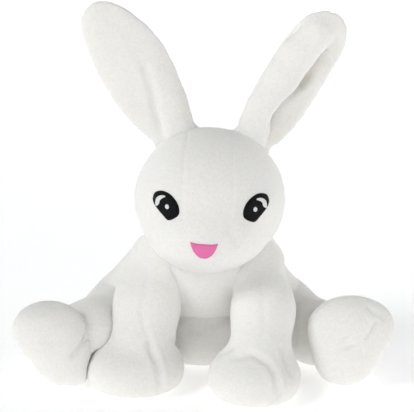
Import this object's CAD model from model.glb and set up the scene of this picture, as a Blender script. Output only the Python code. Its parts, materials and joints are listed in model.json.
import bpy
import json
import math
import numpy as np
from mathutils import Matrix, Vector, noise
from mathutils.bvhtree import BVHTree
from mathutils.kdtree import KDTree


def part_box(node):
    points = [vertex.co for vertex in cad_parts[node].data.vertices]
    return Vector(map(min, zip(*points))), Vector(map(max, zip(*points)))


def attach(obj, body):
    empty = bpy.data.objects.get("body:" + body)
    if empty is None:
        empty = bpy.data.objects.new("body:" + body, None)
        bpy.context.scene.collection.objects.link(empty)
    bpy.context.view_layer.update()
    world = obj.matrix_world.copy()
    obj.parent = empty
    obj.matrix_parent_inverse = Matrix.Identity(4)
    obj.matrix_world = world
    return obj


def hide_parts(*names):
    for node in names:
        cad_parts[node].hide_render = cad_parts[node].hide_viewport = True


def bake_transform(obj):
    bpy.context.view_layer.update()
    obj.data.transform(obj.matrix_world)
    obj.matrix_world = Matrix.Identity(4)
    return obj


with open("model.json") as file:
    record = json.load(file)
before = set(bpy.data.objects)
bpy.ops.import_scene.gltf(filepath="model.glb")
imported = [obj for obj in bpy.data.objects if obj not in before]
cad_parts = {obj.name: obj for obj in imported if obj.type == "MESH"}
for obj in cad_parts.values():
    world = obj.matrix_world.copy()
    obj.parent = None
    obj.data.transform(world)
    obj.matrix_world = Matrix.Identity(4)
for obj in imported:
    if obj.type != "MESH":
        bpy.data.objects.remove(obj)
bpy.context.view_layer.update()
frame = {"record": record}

# A seated plush rabbit, in metres, in the frame's axes: +Z up, the face towards -Y,
# the rabbit's own left at +X. Each stuffed form is the zero surface of a field of
# distances, inflated as cloth, subdivided, and then pressed in along its seams.

PIVOT = {joint["name"]: np.array(joint["pos_m"])
         for joint in frame["record"]["behaviour"]["joints"]}
SIDES = {"left": 1, "right": -1}

# ---- Fields ----


def smooth(value, low, high):
    """0 below low, 1 above high, and a smooth step between."""
    t = np.clip((value - low) / (high - low), 0, 1)
    return t * t * (3 - 2 * t)


def soft_min(a, b, k):
    """The union of two fields, filleted over a width k."""
    h = np.maximum(k - np.abs(a - b), 0) / k
    return np.minimum(a, b) - h * h * k / 4


def soft_max(a, b, k):
    """The overlap of two fields, rounded over a width k."""
    return -soft_min(-a, -b, k)


def ellipsoid(p, centre, radii):
    """About the distance to an ellipsoid."""
    q = p - np.array(centre)
    near = np.linalg.norm(q / np.array(radii), axis=-1)
    slope = np.linalg.norm(q / np.array(radii) ** 2, axis=-1)
    return near * (near - 1) / np.maximum(slope, 1e-6)


def limb(p, start, start_radius, end, end_radius):
    """The distance to a tapered limb with round ends."""
    start, end = np.array(start), np.array(end)
    along = end - start
    t = np.clip((p - start) @ along / (along @ along), 0, 1)
    return np.linalg.norm(p - (start + t[..., None] * along), axis=-1) - (
        start_radius + t * (end_radius - start_radius))


# ---- Meshes from fields ----

SMOOTHING = (0.5, -0.53)
CLOTH_FRAMES = 20
GROOVE_POINTS = 60
GROOVE_REACH = 4
GROOVE_FADE = (-1.0, 9.0)
LIP_PLACE = 2.0
LIP_HEIGHT = 0.25
FOLD_FREQUENCY = 55.0
PILE_FREQUENCY = 330.0
FLOOR_FADE = (0.0005, 0.004)


def grid(low, high, step):
    """Points of a regular grid, as an array of (x, y, z)."""
    axes = [np.arange(a, b + step, step) for a, b in zip(low, high)]
    return np.stack(np.meshgrid(*axes, indexing="ij"), axis=-1)


def window(cells, shift):
    """The slices that pick one corner of every cell."""
    return tuple(slice(s, s + n) for s, n in zip(shift, cells))


def surface(field, low, step):
    """Vertices and quads of a field's zero surface, one vertex in each cell it crosses."""
    cells = np.array(field.shape) - 1
    total = np.zeros((*cells, 3))
    count = np.zeros(cells)
    for axis in range(3):
        others = [(axis + 1) % 3, (axis + 2) % 3]
        for b in (0, 1):
            for c in (0, 1):
                shift = [0, 0, 0]
                shift[others[0]], shift[others[1]] = b, c
                first = field[window(cells, shift)]
                shift[axis] = 1
                second = field[window(cells, shift)]
                crossed = (first < 0) != (second < 0)
                gap = np.where(crossed, first - second, 1.0)
                total[..., axis] += np.where(crossed, first / gap, 0)
                total[..., others[0]] += crossed * b
                total[..., others[1]] += crossed * c
                count += crossed
    used = count > 0
    index = np.full(cells, -1)
    index[used] = np.arange(used.sum())
    points = np.argwhere(used) + total[used] / count[used][:, None]
    quads = []
    for axis in range(3):
        b, c = (axis + 1) % 3, (axis + 2) % 3
        size = cells.copy()
        size[b] -= 1
        size[c] -= 1
        base = np.zeros(3, int)
        base[b] = base[c] = 1
        tip = base.copy()
        tip[axis] += 1
        near = field[window(size, base)] < 0
        far = field[window(size, tip)] < 0
        at = np.argwhere(near != far) + base
        outward = near[near != far]
        step_b, step_c = np.zeros(3, int), np.zeros(3, int)
        step_b[b], step_c[c] = 1, 1
        ring = [index[tuple(q.T)] for q in (at, at - step_b, at - step_b - step_c, at - step_c)]
        ring = np.stack(ring, axis=1)
        ring[~outward] = ring[~outward][:, ::-1]
        quads.append(ring)
    return np.array(low) + points * step, np.concatenate(quads)


def make_object(name, points, faces):
    """A smooth-shaded mesh object."""
    mesh = bpy.data.meshes.new(name)
    mesh.from_pydata([tuple(p) for p in points], [], [tuple(int(i) for i in f) for f in faces])
    mesh.shade_smooth()
    mesh.update()
    obj = bpy.data.objects.new(name, mesh)
    bpy.context.scene.collection.objects.link(obj)
    return obj


def coordinates(obj):
    """The vertices of an object's mesh."""
    flat = np.empty(len(obj.data.vertices) * 3)
    obj.data.vertices.foreach_get("co", flat)
    return flat.reshape(-1, 3)


def set_coordinates(obj, points):
    """Moves the vertices of an object's mesh."""
    obj.data.vertices.foreach_set("co", np.ascontiguousarray(points).ravel())
    obj.data.update()


def normals(obj):
    """The vertex normals of an object's mesh."""
    flat = np.empty(len(obj.data.vertices) * 3)
    obj.data.vertex_normals.foreach_get("vector", flat)
    return flat.reshape(-1, 3)


def neighbours_mean(points, edges):
    """The mean place of each vertex's neighbours."""
    total = np.zeros_like(points)
    count = np.zeros(len(points))
    for a, b in (edges.T, edges.T[::-1]):
        np.add.at(total, a, points[b])
        np.add.at(count, a, 1)
    return total / np.maximum(count, 1)[:, None]


def relax(obj, rounds, held):
    """Evens out the surface, without moving the held vertices."""
    edges = np.empty(len(obj.data.edges) * 2, int)
    obj.data.edges.foreach_get("vertices", edges)
    edges = edges.reshape(-1, 2)
    points = coordinates(obj)
    free = 1.0 - held[:, None]
    for _ in range(rounds):
        for share in SMOOTHING:
            points = points + share * free * (neighbours_mean(points, edges) - points)
    set_coordinates(obj, points)


def apply_modifiers(obj):
    """Replaces an object's mesh by its evaluated mesh, and removes its modifiers."""
    graph = bpy.context.evaluated_depsgraph_get()
    mesh = bpy.data.meshes.new_from_object(obj.evaluated_get(graph))
    obj.modifiers.clear()
    old, obj.data = obj.data, mesh
    bpy.data.meshes.remove(old)
    mesh.shade_smooth()


def inflate(obj, held, cap):
    """Blows the skin up as cloth, with held vertices and capped moves."""
    rest = coordinates(obj)
    group = obj.vertex_groups.new(name="held")
    for weight in np.unique(held[held > 0].round(1)):
        chosen = np.flatnonzero(np.abs(held.round(1) - weight) < 0.01)
        group.add([int(i) for i in chosen], float(weight), "REPLACE")
    cloth = obj.modifiers.new("cloth", "CLOTH")
    settings = cloth.settings
    settings.quality = 5
    settings.mass = 0.2
    settings.tension_stiffness = 12
    settings.compression_stiffness = 6
    settings.shear_stiffness = 5
    settings.bending_stiffness = 0.3
    settings.use_pressure = True
    settings.uniform_pressure_force = 3.0
    settings.effector_weights.gravity = 0
    settings.vertex_group_mass = group.name
    cloth.collision_settings.use_collision = False
    cloth.point_cache.frame_start = 1
    cloth.point_cache.frame_end = CLOTH_FRAMES
    scene = bpy.context.scene
    for number in range(1, CLOTH_FRAMES + 1):
        scene.frame_set(number)
    graph = bpy.context.evaluated_depsgraph_get()
    moved = bpy.data.meshes.new_from_object(obj.evaluated_get(graph))
    flat = np.empty(len(moved.vertices) * 3)
    moved.vertices.foreach_get("co", flat)
    bpy.data.meshes.remove(moved)
    obj.modifiers.clear()
    obj.vertex_groups.clear()
    scene.frame_set(1)
    shift = flat.reshape(-1, 3) - rest
    length = np.linalg.norm(shift, axis=1, keepdims=True)
    shift *= np.minimum(1, cap / np.maximum(length, 1e-9))
    set_coordinates(obj, rest + shift)


def subdivide(obj):
    """One level of smooth subdivision."""
    modifier = obj.modifiers.new("subdivision", "SUBSURF")
    modifier.levels = modifier.render_levels = 1
    apply_modifiers(obj)


def spline(points, closed, count=96):
    """Evenly numbered points of a smooth curve through a few."""
    points = np.array(points)
    n = len(points)
    spans = n if closed else n - 1
    out = []
    for t in np.linspace(0, spans, count, endpoint=not closed):
        i = min(int(t), spans - 1)
        u = t - i
        pick = [(i + k) % n if closed else min(max(i + k, 0), n - 1) for k in (-1, 0, 1, 2)]
        a, b, c, d = points[pick]
        out.append(0.5 * (2 * b + (c - a) * u + (2 * a - 5 * b + 4 * c - d) * u * u
                          + (3 * b - a - 3 * c + d) * u ** 3))
    return np.array(out)


def surface_tree(obj):
    """A tree for finding points on an object's surface."""
    mesh = obj.data
    faces = [face.vertices[:] for face in mesh.polygons]
    return BVHTree.FromPolygons([vertex.co for vertex in mesh.vertices], faces)


def press(obj, line, depth, width, lip=LIP_HEIGHT, closed=False):
    """Presses a groove into the surface along a smooth line near it, with a low lip beside it."""
    tree = surface_tree(obj)
    line = np.array([tree.find_nearest(Vector(q))[0] for q in spline(line, closed, GROOVE_POINTS)])
    points = coordinates(obj)
    finder = KDTree(len(line))
    for i, q in enumerate(line):
        finder.insert(q, i)
    finder.balance()
    reach = GROOVE_REACH * width + np.linalg.norm(np.diff(line, axis=0), axis=1).max()
    low, high = line.min(axis=0) - reach, line.max(axis=0) + reach
    near = np.flatnonzero(np.all((points > low) & (points < high), axis=1))
    normal = normals(obj)[near]
    shift = np.zeros(len(near))
    last = len(line) - 1
    for k, vertex in enumerate(near):
        q = points[vertex]
        _, i, gap = finder.find(q)
        if gap > reach:
            continue
        away = gap
        for j in (i - 1, i):
            start, end = line[j % (last + 1)], line[(j + 1) % (last + 1)]
            if not closed and (j < 0 or j + 1 > last):
                continue
            along = end - start
            t = min(max((q - start) @ along / max(along @ along, 1e-12), 0), 1)
            away = min(away, np.linalg.norm(q - start - t * along))
        away /= width
        fade = 1.0 if closed else smooth(float(min(i, last - i)), *GROOVE_FADE)
        shift[k] = depth * fade * (lip * math.exp(-(away - LIP_PLACE) ** 2) - math.exp(-away ** 2))
    points[near] += normal * shift[:, None]
    set_coordinates(obj, points)


def roughen(obj, broad, fine):
    """Moves the surface in and out by slow folds and by the lie of the pile."""
    points = coordinates(obj)
    out = normals(obj)
    slow = np.array([noise.noise(Vector(q) * FOLD_FREQUENCY) for q in points])
    quick = np.array([noise.noise(Vector(q) * PILE_FREQUENCY) for q in points])
    free = smooth(points[:, 2], *FLOOR_FADE)
    set_coordinates(obj, points + out * ((broad * slow + fine * quick) * free)[:, None])


# ---- The body: torso, legs, feet and tail ----

BODY_STEP = 0.0022
SHOULDER_FILLET = 0.018
HIP_FILLET = 0.012
ANKLE_FILLET = 0.006
FLOOR_ROUND = 0.004
# A tucked part runs on under its neighbours for OVERLAP, sunk by TUCK, and every seam dips by
# SEAM_DIP. A hind leg or foot is dented where it lies against a foreleg. DENT_GAP is negative,
# so there they overlap by half a millimetre before the cloth step.
TUCK = 0.0005
OVERLAP = 0.003
SEAM_DIP = 0.0009
SEAM_WIDTH = 0.0030
DENT_GAP = -0.0005
DENT_ROUND = 0.003
BODY_LOW = np.array([-0.145, -0.122, -0.006])
BODY_HIGH = (0.142, 0.100, 0.118)
BODY_PUFF = 0.004
RELAX_ROUNDS = 3
HOLD_CELLS = (4, 1.5)

# The torso's forms, as a centre and radii. The rump and the back are centred across the CAD
# back panels, so they have only a (y, z) for their centre.
RUMP = ((0.015, 0.034), (0.0535, 0.0465, 0.040))
BACK = ((0.002, 0.068), (0.0450, 0.0400, 0.038))
CHEST = ((-0.001, -0.0190, 0.067), (0.038, 0.034, 0.036))
NECK = ((0.002, -0.026, 0.086), (0.038, 0.030, 0.020))
BELLY_ROLL = ((-0.002, -0.0165, 0.0185), (0.046, 0.0320, 0.0215))
BACK_FILLET = 0.025
CHEST_FILLET = 0.02
WAIST_FILLET = 0.008
ROLL_EDGE = 0.004
FLANK_FILLET = 0.022
ELBOW_FILLET = 0.01
PAW_FILLET = 0.009
KNEE_FILLET = 0.01
FOOT_FILLET = 0.018
TAIL_RADII = (0.0180, 0.0190, 0.0175)
TAIL_RISE = 0.001
TAIL_FILLET = 0.006
PAW_EDGE = 0.001
SHOULDER_HEIGHTS = (0.058, 0.088)
FLANKS = {
    "left": {"top": (0.026, -0.016, 0.077), "top_radius": 0.0255,
             "low": (0.044, 0.006, 0.037), "low_radius": 0.0295},
    "right": {"top": (-0.021, -0.016, 0.079), "top_radius": 0.0255,
              "low": (-0.0565, 0.004, 0.033), "low_radius": 0.0320},
}
ARMS = {
    "left": {"shoulder": (0.038, -0.040, 0.082), "elbow": (0.040, -0.062, 0.056),
             "wrist": (0.038, -0.076, 0.034), "radii": (0.0175, 0.0210, 0.0215),
             "paw": (0.0335, -0.0825, 0.0125), "paw_radii": (0.0330, 0.0325, 0.0240)},
    "right": {"shoulder": (-0.036, -0.036, 0.084), "elbow": (-0.043, -0.050, 0.056),
              "wrist": (-0.046, -0.061, 0.034), "radii": (0.0190, 0.0225, 0.0230),
              "paw": (-0.0515, -0.0665, 0.0125), "paw_radii": (0.0355, 0.0325, 0.0240)},
}
THIGHS = {
    "left": {"radii": (0.029, 0.021), "knee": (0.080, -0.030, 0.026), "knee_radius": 0.022},
    "right": {"radii": (0.031, 0.024), "knee": (-0.082, -0.046, 0.027), "knee_radius": 0.0260},
}
FEET = {
    "left": {"toe": (0.1030, -0.0640, 0.0425), "toe_radii": (0.0310, 0.0180, 0.0235),
             "heel": (0.0985, -0.0625, 0.0190), "heel_radii": (0.0215, 0.0195, 0.0210)},
    "right": {"toe": (-0.1125, -0.0670, 0.0425), "toe_radii": (0.0260, 0.0180, 0.0205),
              "heel": (-0.1000, -0.0645, 0.0190), "heel_radii": (0.0230, 0.0200, 0.0205)},
}


def span(*nodes):
    """The lowest and highest corners of several CAD nodes."""
    boxes = [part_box(node) for node in nodes]
    low = np.min([np.array(b[0]) for b in boxes], axis=0)
    high = np.max([np.array(b[1]) for b in boxes], axis=0)
    return low, high


def torso_field(p):
    """Rump, back, chest, neck and flanks, with the roll of the belly under them."""
    low, high = span("torso_back_left", "torso_back_right")
    middle = (low[0] + high[0]) / 2
    rump, back = [ellipsoid(p, (middle, *centre), radii) for centre, radii in (RUMP, BACK)]
    chest, neck, roll = [ellipsoid(p, *form) for form in (CHEST, NECK, BELLY_ROLL)]
    behind, front = soft_min(rump, back, BACK_FILLET), soft_min(chest, neck, CHEST_FILLET)
    field = soft_min(soft_min(behind, front, WAIST_FILLET), roll, ROLL_EDGE)
    for flank in FLANKS.values():
        side = limb(p, flank["top"], flank["top_radius"], flank["low"], flank["low_radius"])
        field = soft_min(field, side, FLANK_FILLET)
    return field


def arm_field(p, side):
    """One foreleg: two lengths of limb, and a round paw on the floor."""
    arm = ARMS[side]
    upper = limb(p, arm["shoulder"], arm["radii"][0], arm["elbow"], arm["radii"][1])
    lower = limb(p, arm["elbow"], arm["radii"][1], arm["wrist"], arm["radii"][2])
    paw = ellipsoid(p, arm["paw"], arm["paw_radii"])
    return soft_min(soft_min(upper, lower, ELBOW_FILLET), paw, PAW_FILLET)


def thigh_field(p, side):
    """One hind leg from hip to ankle, over its knee."""
    thigh = THIGHS[side]
    hip, ankle = PIVOT[f"hip_{side}_spread"], PIVOT[f"ankle_{side}_tip"]
    upper = limb(p, hip, thigh["radii"][0], thigh["knee"], thigh["knee_radius"])
    lower = limb(p, thigh["knee"], thigh["knee_radius"], ankle, thigh["radii"][1])
    return soft_min(upper, lower, KNEE_FILLET)


def foot_field(p, side):
    """One foot: a broad toe over a narrower heel."""
    foot = FEET[side]
    toe = ellipsoid(p, foot["toe"], foot["toe_radii"])
    heel = ellipsoid(p, foot["heel"], foot["heel_radii"])
    return soft_min(toe, heel, FOOT_FILLET)


def tail_field(p):
    """A ball of a tail."""
    low, high = span("tail_upper", "tail_lower")
    centre = (low + high) / 2
    return ellipsoid(p, (centre[0], high[1] - TAIL_RADII[1], centre[2] + TAIL_RISE), TAIL_RADII)


def body_fields(p):
    """Each part's own field, and for each part the field of the whole form that it is cut from."""
    parts = {"torso": torso_field(p), "tail": tail_field(p)}
    behind = soft_min(parts["torso"], parts["tail"], TAIL_FILLET)
    for side in SIDES:
        thigh, foot = thigh_field(p, side), foot_field(p, side)
        parts[f"hindleg_{side}"], parts[f"foot_{side}"] = thigh, foot
        behind = soft_min(behind, soft_min(thigh, foot, ANKLE_FILLET), HIP_FILLET)
    fillet = PAW_EDGE + SHOULDER_FILLET * smooth(p[..., 2], *SHOULDER_HEIGHTS)
    whole = behind
    for side in SIDES:
        arm = arm_field(p, side)
        parts[f"foreleg_{side}"] = arm
        whole = soft_min(whole, arm, fillet)
    wholes = {name: whole for name in parts}
    for side in SIDES:
        arm = parts[f"foreleg_{side}"]
        wholes[f"foreleg_{side}"] = soft_min(parts["torso"], arm, fillet)
        for name in (f"hindleg_{side}", f"foot_{side}"):
            wholes[name] = soft_max(behind, DENT_GAP - arm, DENT_ROUND)
    floor = -p[..., 2]
    return parts, {name: soft_max(field, floor, FLOOR_ROUND) for name, field in wholes.items()}


def joined(a, b):
    """False for a foreleg and a hind leg or foot, which only lie against each other."""
    kinds = {a.split("_")[0], b.split("_")[0]}
    return "foreleg" not in kinds or not kinds & {"hindleg", "foot"}


def cut_apart(parts, wholes, tucked):
    """Each part's closed field, cut halfway to the nearest part that it is joined to, and how far
    each point is past that cut. A tucked part runs on a little way under its neighbours."""
    names = list(parts)
    fields = {}
    for name in names:
        others = np.min([parts[n] for n in names if n != name and joined(n, name)], axis=0)
        border = (parts[name] - others) / 2
        whole_here = wholes[name] + SEAM_DIP * np.exp(-(border / SEAM_WIDTH) ** 2)
        if name in tucked:
            under = TUCK * smooth(border, -OVERLAP, 0)
            fields[name] = (np.maximum(whole_here + under, border - OVERLAP), border)
        else:
            fields[name] = (np.maximum(whole_here, border), border)
    return fields


def build_parts(parts, wholes, tucked, low, step, cap):
    """Every part as its own inflated and subdivided skin."""
    made = {}
    for name, (field, border) in cut_apart(parts, wholes, tucked).items():
        points, faces = surface(field, low, step)
        obj = make_object(name, points, faces)
        cell = np.clip(np.round((points - low) / step).astype(int), 0, np.array(field.shape) - 1)
        limit = OVERLAP if name in tucked else 0.0
        start, full = [limit - cells * step for cells in HOLD_CELLS]
        held = smooth(border[tuple(cell.T)], start, full)
        held = np.maximum(held, points[:, 2] < step)
        relax(obj, RELAX_ROUNDS, held)
        inflate(obj, held, cap)
        subdivide(obj)
        made[name] = obj
    return made


def build_body():
    """The body's skins."""
    parts, wholes = body_fields(grid(BODY_LOW, BODY_HIGH, BODY_STEP))
    tucked = ("torso", "hindleg_left", "hindleg_right")
    return build_parts(parts, wholes, tucked, BODY_LOW, BODY_STEP, BODY_PUFF)


# ---- The head and ears ----

HEAD_STEP = 0.0020
HEAD_LOW = np.array([-0.105, -0.108, 0.070])
HEAD_HIGH = (0.118, 0.024, 0.284)
HEAD_PUFF = 0.003
FAR = 0.05

# The head's forms, as a centre from the pivot of the nod, and radii.
SKULL = ((0.0, 0.001, 0.001), (0.0540, 0.0500, 0.0510))
MUZZLE = ((-0.002, -0.028, -0.017), (0.0320, 0.0275, 0.0230))
CHIN = ((-0.003, -0.020, -0.0225), (0.0365, 0.0270, 0.0195))
CHIN_FILLET = 0.012
MUZZLE_FILLET = 0.014

# Each ear in its own plane: outline points as (across, along) from its root, and the rolled
# fold along its inner edge as (across, along, radius).
EARS = {
    "left": {
        "root": (0.0307, -0.030, 0.1713), "splay": 31.8, "thick": 0.0036, "set_back": 0.0125,
        "fold": 0.0012, "bend": -0.30,
        "outline": [(-0.0100, -0.004), (-0.0165, 0.020), (-0.0190, 0.055), (-0.0170, 0.088),
                    (-0.0092, 0.1030), (0.0020, 0.1090), (0.0134, 0.1052), (0.0216, 0.0910),
                    (0.0250, 0.0640), (0.0230, 0.022), (0.0130, -0.004)],
        "roll": [(-0.0010, 0.000, 0.0118), (-0.0065, 0.026, 0.0105), (-0.0058, 0.050, 0.0118),
                 (-0.0050, 0.070, 0.0124), (-0.0015, 0.0890, 0.0116)],
    },
    "right": {
        "root": (-0.0200, -0.030, 0.1724), "splay": -31.8, "thick": 0.0060, "set_back": 0.0,
        "fold": 0.0030, "bend": 0.0,
        "outline": [(-0.0110, -0.004), (-0.0212, 0.022), (-0.0250, 0.052), (-0.0226, 0.082),
                    (-0.0145, 0.1070), (0.0004, 0.1142), (0.0126, 0.1076), (0.0216, 0.0905),
                    (0.0268, 0.0615), (0.0210, 0.025), (0.0100, -0.004)],
        "roll": [(0.0025, 0.000, 0.0112), (0.0095, 0.027, 0.0105), (0.0155, 0.048, 0.0090),
                 (0.0178, 0.062, 0.0076), (0.0168, 0.078, 0.0056), (0.0120, 0.092, 0.0036)],
    },
}
EAR_ROUND = 0.013
EAR_OUTLINE_POINTS = 44
EAR_REACH = (0.045, -0.03, 0.13)
EAR_FILLET = 0.008
ROLL_FLATTEN = 1.35
ROLL_FORWARD = 0.002
ROLL_JOIN = 0.004
STEM = ((0, -0.012, 0), 0.0105, (0, 0.008, 0), 0.0085)
STEM_FILLET = 0.006
EAR_BEND_FROM = 0.004
EAR_TIP = (0.072, 0.100)
TIP_FOLD = 0.003


def head_field(p):
    """Skull, cheeks and muzzle."""
    q = p - PIVOT["head_nod"]
    skull, muzzle, chin = [ellipsoid(q, *form) for form in (SKULL, MUZZLE, CHIN)]
    return soft_min(soft_min(skull, chin, CHIN_FILLET), muzzle, MUZZLE_FILLET)


def outline_distance(x, y, outline):
    """The distance in a plane to a closed outline, negative inside it."""
    best = np.full(x.shape, np.inf)
    inside = np.zeros(x.shape, bool)
    for a, b in zip(outline, np.roll(outline, -1, axis=0)):
        edge = b - a
        t = np.clip(((x - a[0]) * edge[0] + (y - a[1]) * edge[1]) / (edge @ edge), 0, 1)
        best = np.minimum(best, np.hypot(x - a[0] - t * edge[0], y - a[1] - t * edge[1]))
        if a[1] != b[1]:
            inside ^= ((a[1] > y) != (b[1] > y)) & (x < edge[0] * (y - a[1]) / edge[1] + a[0])
    return np.where(inside, -best, best)


def ear_axes(side):
    """Unit vectors across an ear, along it and out of its front."""
    splay = math.radians(EARS[side]["splay"])
    along = np.array([math.sin(splay), 0.0, math.cos(splay)])
    across = np.array([math.cos(splay), 0.0, -math.sin(splay)])
    return np.array([across, along, (0.0, -1.0, 0.0)])


def ear_field(p, side):
    """A padded leaf, with a thicker roll folded along its inner edge."""
    ear = EARS[side]
    axes = ear_axes(side)
    root = np.array(ear["root"])
    field = np.full(p.shape[:-1], FAR)
    q = (p - root) @ axes.T
    across, low, high = EAR_REACH
    near = (np.abs(q[..., 0]) < across) & (q[..., 1] > low) & (q[..., 1] < high)
    q = q[near]
    edge = outline_distance(q[:, 0], q[:, 1], spline(ear["outline"], True, EAR_OUTLINE_POINTS))
    flat = EAR_ROUND / ear["thick"]
    tip = smooth(q[:, 1], *EAR_TIP)
    bent = ear["bend"] * np.maximum(q[:, 0] - EAR_BEND_FROM, 0)
    back = (ear["set_back"] + bent) * (1 - tip)
    leaf = (np.hypot(np.maximum(edge + EAR_ROUND, 0), (q[:, 2] + back) * flat) - EAR_ROUND) / flat
    stretched = q * (1, 1, ROLL_FLATTEN)
    roll = np.full(len(q), FAR)
    for (x0, s0, r0), (x1, s1, r1) in zip(ear["roll"][:-1], ear["roll"][1:]):
        length = limb(stretched, (x0, s0, ROLL_FORWARD), r0, (x1, s1, ROLL_FORWARD), r1)
        roll = soft_min(roll, length, ROLL_JOIN)
    blade = soft_min(leaf, roll / ROLL_FLATTEN, ear["fold"] + TIP_FOLD * tip)
    field[near] = soft_min(blade, limb(q, *STEM), STEM_FILLET)
    return field


def build_head():
    """The skins of the head and of both ears."""
    p = grid(HEAD_LOW, HEAD_HIGH, HEAD_STEP)
    parts = {"head": head_field(p)}
    whole = parts["head"]
    for side in SIDES:
        parts[f"ear_{side}"] = ear_field(p, side)
        whole = soft_min(whole, parts[f"ear_{side}"], EAR_FILLET)
    wholes = {name: whole for name in parts}
    return build_parts(parts, wholes, ("head",), HEAD_LOW, HEAD_STEP, HEAD_PUFF)


# ---- Seams and creases ----

# Sewn seams and folds: the part, the depth and width, and points near the surface, all in mm.
SEAMS = [
    ("torso", 3.0, 2.8, [(-34, -32, 36), (-12, -41, 39), (-1, -43, 38), (10, -41, 39),
                         (31, -32, 37)]),
    ("torso", 1.4, 1.7, [(-2, -2, 104), (-3, 22, 88), (-3, 42, 66), (-3, 55, 48), (-3, 60, 22),
                         (-3, 50, 4)]),
    ("torso", 1.6, 2.4, [(58, -18, 75), (61, -17, 71), (64, -15, 65), (69, -11, 58)]),
    ("torso", 1.2, 2.0, [(60, -22, 60), (64, -19, 57), (68, -14, 54)]),
    ("foreleg_right", 0.5, 2.0, [(-41, -56, 88), (-43, -69, 72), (-46, -75, 60), (-43, -80, 47),
                                 (-40, -83, 38)]),
    ("foreleg_right", 2.0, 2.6, [(-41, -81, 40), (-40, -84, 34), (-36, -88, 26), (-34, -92, 15),
                                 (-35, -90, 1)]),
    ("foreleg_right", 1.2, 3.0, [(-24, -70, 38), (-20, -62, 30), (-18, -52, 24)]),
    ("foreleg_left", 0.4, 2.0, [(38, -60, 88), (39, -78, 68), (39, -91, 48), (36, -97, 38)]),
    ("foreleg_left", 1.7, 2.6, [(17, -93, 28), (24, -97, 33), (31, -98, 35), (38, -101, 32),
                                (44, -104, 27), (47, -109, 18), (46, -109, 6), (46, -104, 0)]),
    ("foreleg_left", 1.0, 2.2, [(50, -90, 40), (54, -95, 30), (57, -100, 18)]),
    ("foreleg_left", 1.2, 3.0, [(20, -88, 38), (12, -82, 30), (5, -76, 24)]),
    ("hindleg_right", 1.4, 2.6, [(-68, -56, 42), (-73, -62, 34), (-79, -66, 26)]),
    ("hindleg_right", 0.7, 1.7, [(-92, 22, 27), (-108, -8, 25), (-116, -36, 24)]),
    ("hindleg_left", 1.4, 2.8, [(66, -28, 49), (65, -45, 38), (63, -48, 20)]),
    ("hindleg_left", 0.7, 1.7, [(84, 24, 27), (100, -6, 25), (108, -34, 24)]),
    ("foot_right", 1.6, 2.4, [(-84, -68, 46), (-86, -73, 40), (-91, -81, 34), (-97, -85, 27)]),
    ("foot_right", 0.8, 6.0, [(-112, -85, 45), (-107, -85, 36)]),
    ("foot_left", 1.4, 7.0, [(95, -83, 42), (99, -84, 34)]),
    ("foot_left", 1.4, 2.2, [(120, -76, 53), (115, -80, 46), (112, -82, 39)]),
    ("foot_left", 0.9, 2.4, [(112, -72, 62), (118, -74, 57), (126, -72, 52)]),
    ("head", 0.3, 1.4, [(11, -92, 122), (14, -89, 128), (17, -85, 139), (18, -80, 152),
                        (18, -70, 166), (19, -50, 178), (19, -22, 179), (18, 4, 163),
                        (14, 12, 138), (11, 9, 114), (9, 0, 98)]),
    ("head", 0.3, 1.4, [(-14, -92, 122), (-16, -88, 128), (-17, -85, 139), (-17, -80, 152),
                        (-16, -70, 166), (-14, -50, 178), (-14, -22, 179), (-13, 4, 163),
                        (-10, 12, 138), (-8, 9, 114), (-6, 0, 98)]),
    ("head", 0.5, 3.2, [(14, -90, 126), (18, -90, 118), (23, -88, 110)]),
]
# The crease beside each ear's roll: across, along and out of the ear's root.
EAR_FOLDS = {
    "left": {"depth": 0.0048, "width": 0.0034,
             "at": [(0.0110, 0.006, 0.004), (0.0060, 0.022, 0.003), (0.0050, 0.032, 0.0),
                    (0.0075, 0.052, -0.003), (0.0088, 0.070, -0.002)]},
    "right": {"depth": 0.0012, "width": 0.0030,
              "at": [(-0.0085, 0.006, 0.008), (-0.0050, 0.018, 0.007), (0.0, 0.031, 0.006),
                     (0.0060, 0.048, 0.006), (0.0090, 0.064, 0.006)]},
}
EAR_FOLD_LIP = 0.15
RIM_DEPTH = 0.0007
RIM_WIDTH = 0.0014
RING_POINTS = 12
SOLE_SET = 0.002
SOLE_RADII = (0.028, 0, 0.031)
TAIL_SEAM_SET = 0.015
TAIL_SEAM_RADII = (0.0165, 0.015, 0)
FOLD_HEIGHT = 0.0004
PILE_HEIGHT = 0.00016


def ring(centre, radii):
    """Points of an oval, flat along the axis whose radius is 0."""
    axes = [i for i in range(3) if radii[i]]
    points = np.tile(np.array(centre, float), (RING_POINTS, 1))
    for k, angle in enumerate(np.linspace(0, 2 * math.pi, RING_POINTS, endpoint=False)):
        points[k, axes[0]] += radii[axes[0]] * math.cos(angle)
        points[k, axes[1]] += radii[axes[1]] * math.sin(angle)
    return points


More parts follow.
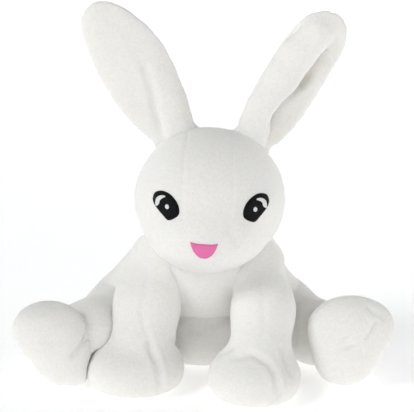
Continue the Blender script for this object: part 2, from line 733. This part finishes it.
def sew(skins):
    """Presses every seam and crease, then roughens the pile."""
    for part, depth, width, line in SEAMS:
        press(skins[part], np.array(line) / 1000, depth / 1000, width / 1000)
    for side in SIDES:
        low, high = span(f"foot_{side}_sole")
        middle = (low + high) / 2
        line = ring((middle[0], high[1] - SOLE_SET, middle[2] + SOLE_SET), SOLE_RADII)
        press(skins[f"foot_{side}"], line, RIM_DEPTH, RIM_WIDTH, closed=True)
        ear = EARS[side]
        flat = np.array([(x, s, -ear["set_back"]) for x, s in ear["outline"]])
        line = np.array(ear["root"]) + flat @ ear_axes(side)
        press(skins[f"ear_{side}"], line, RIM_DEPTH, RIM_WIDTH, closed=True)
    low, high = span("tail_upper", "tail_lower")
    middle = (low + high) / 2
    line = ring((middle[0], high[1] - TAIL_SEAM_SET, middle[2]), TAIL_SEAM_RADII)
    press(skins["tail"], line, RIM_DEPTH, RIM_WIDTH, closed=True)
    for side, fold in EAR_FOLDS.items():
        line = np.array(EARS[side]["root"]) + np.array(fold["at"]) @ ear_axes(side)
        press(skins[f"ear_{side}"], line, fold["depth"], fold["width"], EAR_FOLD_LIP)
    for obj in skins.values():
        roughen(obj, FOLD_HEIGHT, PILE_HEIGHT)


# ---- Embroidery ----

# Outlines seen from the front, as (x, z) from the middle of the eye or nose. The eyes and the
# nose are placed by (x, z) from the pivot of the nod.
EYE_EDGE = [(-0.0094, 0.0034), (-0.0078, 0.0075), (-0.0030, 0.0095), (0.0022, 0.0084),
            (0.0064, 0.0050), (0.0088, 0.0008), (0.0091, -0.0038), (0.0064, -0.0070),
            (0.0014, -0.0093), (-0.0022, -0.0068), (-0.0060, -0.0034), (-0.0087, 0.0000)]
WHITE_OUTER = [(-0.0070, -0.0014), (-0.0082, 0.0014), (-0.0074, 0.0046), (-0.0044, 0.0070),
               (0.0002, 0.0071)]
WHITE_INNER = [(-0.0060, -0.0016), (-0.0032, 0.0002), (-0.0026, 0.0024), (-0.0014, 0.0038),
               (0.0006, 0.0058)]
WHITE_POINTS = 28
WHITE_ROWS = 7
HIGHLIGHT_CENTRE = (0.0012, -0.0004)
HIGHLIGHT_RADII = (0.0017, 0.0021)
HIGHLIGHT_POINTS = 40
HIGHLIGHT_ROWS = 7
NOSE_EDGE = [(-0.0091, 0.0058), (-0.0070, 0.0056), (-0.0036, 0.0051), (0.0014, 0.0049),
             (0.0054, 0.0047), (0.0078, 0.0048), (0.0096, 0.0050), (0.0089, 0.0026),
             (0.0068, -0.0018), (0.0040, -0.0048), (0.0006, -0.0061), (-0.0034, -0.0051),
             (-0.0066, -0.0014), (-0.0083, 0.0022)]
EYES = {
    "left": {"at": (0.0317, 0.0044), "turn": 3.0},
    "right": {"at": (-0.0300, 0.0064), "turn": 0.0},
}
NOSE_AT = (-0.0042, -0.0212)
PATCH_ROWS = 14
PATCH_MIDDLE = 0.01
PATCH_RIM = 2.5
RAY_FROM = -0.3
THREAD_LIFT = 0.0009
THREAD_THICKNESS = 0.0016
CRESCENT_LIFT = 0.0015
GLINT_LIFT = 0.0016
WHITE_THICKNESS = 0.0012


def web(name, rows, tree, lift, thickness, material, closed):
    """A raised, closed patch of thread over the head, from rows of (x, z) seen from the front."""
    rows = np.array(rows)
    count, width = rows.shape[:2]
    points = []
    for j, row in enumerate(rows):
        for i, (x, z) in enumerate(row):
            hit, normal = tree.ray_cast(Vector((x, RAY_FROM, z)), Vector((0, 1, 0)))[:2]
            edge = (count - 1 - j) if closed else min(j, count - 1 - j, i, width - 1 - i)
            points.append(hit + normal * (lift * smooth(float(edge), 0.0, PATCH_RIM)))
    turn = width if closed else width - 1
    faces = [(j * width + i, j * width + (i + 1) % width,
              (j + 1) * width + (i + 1) % width, (j + 1) * width + i)
             for j in range(count - 1) for i in range(turn)]
    obj = make_object(name, points, faces)
    mesh = obj.data
    mesh.materials.append(material)
    outward = sum((Vector(p.normal) for p in mesh.polygons), Vector())
    if outward.y > 0:
        mesh.flip_normals()
    solid = obj.modifiers.new("solid", "SOLIDIFY")
    solid.thickness = thickness
    solid.offset = -1
    apply_modifiers(obj)
    return obj


def filled(edge, rows=PATCH_ROWS):
    """Rows from the middle of an outline out to its edge."""
    middle = (edge.min(axis=0) + edge.max(axis=0)) / 2
    return [middle + (edge - middle) * max(k / (rows - 1), PATCH_MIDDLE) for k in range(rows)]


def on_face(points, mirror, at, turn):
    """Flat points of an eye or the nose, put in their place on the front of the head."""
    points = np.array(points) * (mirror, 1)
    c, s = math.cos(math.radians(turn)), math.sin(math.radians(turn))
    points = np.stack([c * points[:, 0] - s * points[:, 1],
                       s * points[:, 0] + c * points[:, 1]], axis=1)
    head = PIVOT["head_nod"]
    return points + np.array([head[0] + at[0], head[2] + at[1]])


def build_face(head, black, white, pink):
    """Both eyes and the nose."""
    tree = surface_tree(head)
    made = {}
    for side, eye in EYES.items():
        seat = (-SIDES[side], eye["at"], eye["turn"])
        edge = on_face(spline(EYE_EDGE, True), *seat)
        made[f"eye_{side}_black"] = web(f"eye_{side}_thread", filled(edge), tree,
                                        THREAD_LIFT, THREAD_THICKNESS, black, True)
        outer, inner = [on_face(spline(line, False, WHITE_POINTS), *seat)
                        for line in (WHITE_OUTER, WHITE_INNER)]
        rows = [outer + (inner - outer) * t for t in np.linspace(0, 1, WHITE_ROWS)]
        crescent = web(f"eye_{side}_crescent", rows, tree,
                       CRESCENT_LIFT, WHITE_THICKNESS, white, False)
        angle = np.linspace(0, 2 * math.pi, HIGHLIGHT_POINTS, endpoint=False)
        oval = np.stack([HIGHLIGHT_CENTRE[0] + HIGHLIGHT_RADII[0] * np.cos(angle),
                         HIGHLIGHT_CENTRE[1] + HIGHLIGHT_RADII[1] * np.sin(angle)], axis=1)
        glint = web(f"eye_{side}_glint", filled(on_face(oval, *seat), HIGHLIGHT_ROWS), tree,
                    GLINT_LIFT, WHITE_THICKNESS, white, True)
        made[f"eye_{side}_white"] = (crescent, glint)
    edge = on_face(spline(NOSE_EDGE, True), 1, NOSE_AT, 0)
    made["nose_embroidery"] = web("nose_thread", filled(edge), tree,
                                  THREAD_LIFT, THREAD_THICKNESS, pink, True)
    return made


# ---- Label ----

TAPE_THICKNESS = 0.00025
TAPE_HALF_GAP = 0.0005
TAPE_ROOT = 0.004
TAPE_CURL = 0.0016
TAPE_ROWS = 9
TAPE_SIDE_POINTS = 10
TAPE_BEND_POINTS = 9


def build_label(material):
    """A blank tape, folded double, with its ends in the back seam."""
    low, high = span("sewn_label")
    middle = (low[0] + high[0]) / 2
    root, fold = low[1] - TAPE_ROOT, high[1] - TAPE_HALF_GAP
    straight = [(-TAPE_HALF_GAP, y) for y in np.linspace(root, fold, TAPE_SIDE_POINTS)]
    bend = [(-TAPE_HALF_GAP * math.cos(angle), fold + TAPE_HALF_GAP * math.sin(angle))
            for angle in np.linspace(0, math.pi, TAPE_BEND_POINTS)[1:-1]]
    profile = straight + bend + [(-x, y) for x, y in straight[::-1]]
    points = []
    for j, z in enumerate(np.linspace(low[2], high[2], TAPE_ROWS)):
        for x, y in profile:
            out = (y - root) / (fold - root)
            curl = TAPE_CURL * out ** 2 * math.sin(math.pi * j / (TAPE_ROWS - 1))
            points.append((middle + x + curl, y, z))
    n = len(profile)
    faces = [(j * n + i, j * n + i + 1, (j + 1) * n + i + 1, (j + 1) * n + i)
             for j in range(TAPE_ROWS - 1) for i in range(n - 1)]
    obj = make_object("label_tape", points, faces)
    obj.data.materials.append(material)
    solid = obj.modifiers.new("solid", "SOLIDIFY")
    solid.thickness = TAPE_THICKNESS
    apply_modifiers(obj)
    return obj


# ---- Materials ----


def new_material(name):
    """A material with its node tree and its shader."""
    material = bpy.data.materials.new(name)
    material.use_nodes = True
    nodes = material.node_tree.nodes
    return material, nodes, material.node_tree.links, nodes["Principled BSDF"]


def noise_node(nodes, links, source, scale, detail, roughness):
    """A noise texture over a vector source."""
    texture = nodes.new("ShaderNodeTexNoise")
    texture.inputs["Scale"].default_value = scale
    texture.inputs["Detail"].default_value = detail
    texture.inputs["Roughness"].default_value = roughness
    links.new(source, texture.inputs["Vector"])
    return texture.outputs["Fac"]


def bump_node(nodes, links, height, strength, distance, before=None):
    """A bump from a height, on top of an earlier one."""
    bump = nodes.new("ShaderNodeBump")
    bump.inputs["Strength"].default_value = strength
    bump.inputs["Distance"].default_value = distance
    links.new(height, bump.inputs["Height"])
    if before is not None:
        links.new(before, bump.inputs["Normal"])
    return bump.outputs["Normal"]


def plush_material(name, dark, light):
    """Short white pile: matte, with a soft sheen, tufts and a brushed nap."""
    material, nodes, links, shader = new_material(name)
    place = nodes.new("ShaderNodeTexCoord").outputs["Object"]
    tufts = noise_node(nodes, links, place, scale=620, detail=4, roughness=0.65)
    nap = noise_node(nodes, links, place, scale=95, detail=3, roughness=0.55)
    ramp = nodes.new("ShaderNodeValToRGB")
    ramp.color_ramp.elements[0].position = 0.3
    ramp.color_ramp.elements[0].color = (*dark, 1)
    ramp.color_ramp.elements[1].position = 0.7
    ramp.color_ramp.elements[1].color = (*light, 1)
    links.new(tufts, ramp.inputs["Fac"])
    links.new(ramp.outputs["Color"], shader.inputs["Base Color"])
    rough = bump_node(nodes, links, nap, strength=0.22, distance=0.0015)
    fine = bump_node(nodes, links, tufts, strength=0.32, distance=0.0007, before=rough)
    links.new(fine, shader.inputs["Normal"])
    shader.inputs["Roughness"].default_value = 0.95
    shader.inputs["Specular IOR Level"].default_value = 0.15
    shader.inputs["Sheen Weight"].default_value = 0.15
    shader.inputs["Sheen Roughness"].default_value = 0.6
    shader.inputs["Subsurface Weight"].default_value = 0.35
    shader.inputs["Subsurface Radius"].default_value = (0.006, 0.0052, 0.0042)
    shader.inputs["Subsurface Scale"].default_value = 1.0
    return material


def thread_material(name, dark, light, angle):
    """Satin stitches: thin parallel threads with a slight gloss."""
    material, nodes, links, shader = new_material(name)
    place = nodes.new("ShaderNodeTexCoord").outputs["Object"]
    turn = nodes.new("ShaderNodeMapping")
    turn.inputs["Rotation"].default_value = (0, math.radians(angle), 0)
    links.new(place, turn.inputs["Vector"])
    wave = nodes.new("ShaderNodeTexWave")
    wave.bands_direction = "X"
    wave.inputs["Scale"].default_value = 420
    wave.inputs["Distortion"].default_value = 1.2
    wave.inputs["Detail"].default_value = 2
    wave.inputs["Detail Scale"].default_value = 1.5
    links.new(turn.outputs["Vector"], wave.inputs["Vector"])
    ramp = nodes.new("ShaderNodeValToRGB")
    ramp.color_ramp.elements[0].color = (*dark, 1)
    ramp.color_ramp.elements[1].color = (*light, 1)
    links.new(wave.outputs["Fac"], ramp.inputs["Fac"])
    links.new(ramp.outputs["Color"], shader.inputs["Base Color"])
    stitches = bump_node(nodes, links, wave.outputs["Fac"], strength=0.5, distance=0.0003)
    links.new(stitches, shader.inputs["Normal"])
    shader.inputs["Roughness"].default_value = 0.55
    shader.inputs["Specular IOR Level"].default_value = 0.1
    return material


# ---- Camera and studio ----

CAMERA_AT = (0, -0.9043, 0.3575)
CAMERA_TILT = 75
FLOOR_DISC = 1.0
FLOOR_RADIUS = 3.0
SWEEP_RADIUS = 1.2
WALL_TOP = 3.0
FLOOR_DROP = 0.0004
SWEEP_TURN = 64
SWEEP_STEPS = 13


def place_camera():
    """The camera, a little above the toy and square to it."""
    camera = bpy.data.objects.new("camera", bpy.data.cameras.new("camera"))
    bpy.context.scene.collection.objects.link(camera)
    camera.location = CAMERA_AT
    camera.rotation_euler = (math.radians(CAMERA_TILT), 0, 0)
    camera.data.lens = 108.7
    camera.data.sensor_width = 36
    camera.data.clip_start = 0.01
    bpy.context.scene.camera = camera


def soft_light(name, direction, strength, spread, colour):
    """A wide, even light from far away, shining in a direction."""
    data = bpy.data.lights.new(name, "SUN")
    data.energy = strength
    data.angle = math.radians(spread)
    data.color = colour
    light = bpy.data.objects.new(name, data)
    light.rotation_euler = Vector(direction).to_track_quat("-Z", "Y").to_euler()
    bpy.context.scene.collection.objects.link(light)


def build_studio():
    """A round white sweep that rises on every side, two soft lights and a pale sky."""
    profile = [(FLOOR_DISC, 0.0)]
    profile += [(FLOOR_RADIUS + SWEEP_RADIUS * math.sin(a),
                 SWEEP_RADIUS - SWEEP_RADIUS * math.cos(a))
                for a in np.linspace(0, math.pi / 2, SWEEP_STEPS)]
    profile += [(FLOOR_RADIUS + SWEEP_RADIUS, WALL_TOP)]
    turn = SWEEP_TURN
    angles = [2 * math.pi * k / turn for k in range(turn)]
    points = [(radius * math.cos(angle), radius * math.sin(angle), z - FLOOR_DROP)
              for radius, z in profile for angle in angles]
    points.append((0, 0, -FLOOR_DROP))
    faces = [(j * turn + k, j * turn + (k + 1) % turn,
              (j + 1) * turn + (k + 1) % turn, (j + 1) * turn + k)
             for j in range(len(profile) - 1) for k in range(turn)]
    faces += [(len(points) - 1, (k + 1) % turn, k) for k in range(turn)]
    sweep = make_object("studio_floor", points, faces)
    sweep.data.flip_normals()
    material, *_, shader = new_material("studio_paper")
    shader.inputs["Base Color"].default_value = (0.88, 0.88, 0.88, 1)
    shader.inputs["Roughness"].default_value = 0.9
    shader.inputs["Emission Color"].default_value = (1, 1, 1, 1)
    shader.inputs["Emission Strength"].default_value = 0.40
    sweep.data.materials.append(material)
    soft_light("key_light", (0.95, 0.50, -0.80), 1.60, 22, (0.97, 0.985, 1.0))
    soft_light("fill_light", (0.35, 0.93, -0.25), 1.05, 30, (1.0, 0.99, 0.97))
    bpy.context.scene.view_settings.view_transform = "Standard"
    world = bpy.data.worlds.new("world")
    bpy.context.scene.world = world
    world.use_nodes = True
    world.node_tree.nodes["Background"].inputs["Color"].default_value = (0.93, 0.965, 1.0, 1)
    world.node_tree.nodes["Background"].inputs["Strength"].default_value = 0.13


# ---- Assembly ----

place_camera()
build_studio()
PLUSH = plush_material("plush", (0.850, 0.836, 0.800), (0.925, 0.912, 0.880))
BLACK = thread_material("black_thread", (0.001, 0.001, 0.0012), (0.008, 0.009, 0.010), 35)
WHITE = thread_material("white_thread", (0.75, 0.75, 0.75), (0.9, 0.9, 0.9), 35)
TAPE = thread_material("label_tape", (0.80, 0.80, 0.78), (0.88, 0.88, 0.86), 0)
PINK = thread_material("pink_thread", (0.76, 0.13, 0.35), (0.96, 0.27, 0.54), 90)

BODIES = frame["record"]["behaviour"]["bodies"]
SKIN_NODES = {
    "torso": [node for node in BODIES["torso"] if node != "sewn_label"],
    "head": ["head_gusset", "head_side_left", "head_side_right", "head_stuffing"],
}

skins = build_body()
skins.update(build_head())
sew(skins)

for name, obj in skins.items():
    obj.name = obj.data.name = f"{name}_skin"
    obj.data.materials.append(PLUSH)
    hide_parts(*SKIN_NODES.get(name, BODIES[name]))
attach(skins["torso"], "torso")
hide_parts("neck_wadding")
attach(skins["head"], "head")
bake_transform(skins["tail"])
for side, sign in SIDES.items():
    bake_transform(skins[f"foreleg_{side}"])
    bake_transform(skins[f"hindleg_{side}"])
    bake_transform(skins[f"foot_{side}"])
    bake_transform(skins[f"ear_{side}"])

label = build_label(TAPE)
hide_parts("sewn_label")
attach(label, "torso")

face = build_face(skins["head"], BLACK, WHITE, PINK)
for node, made in face.items():
    for piece in made if isinstance(made, tuple) else (made,):
        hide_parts(node)
        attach(piece, "head")
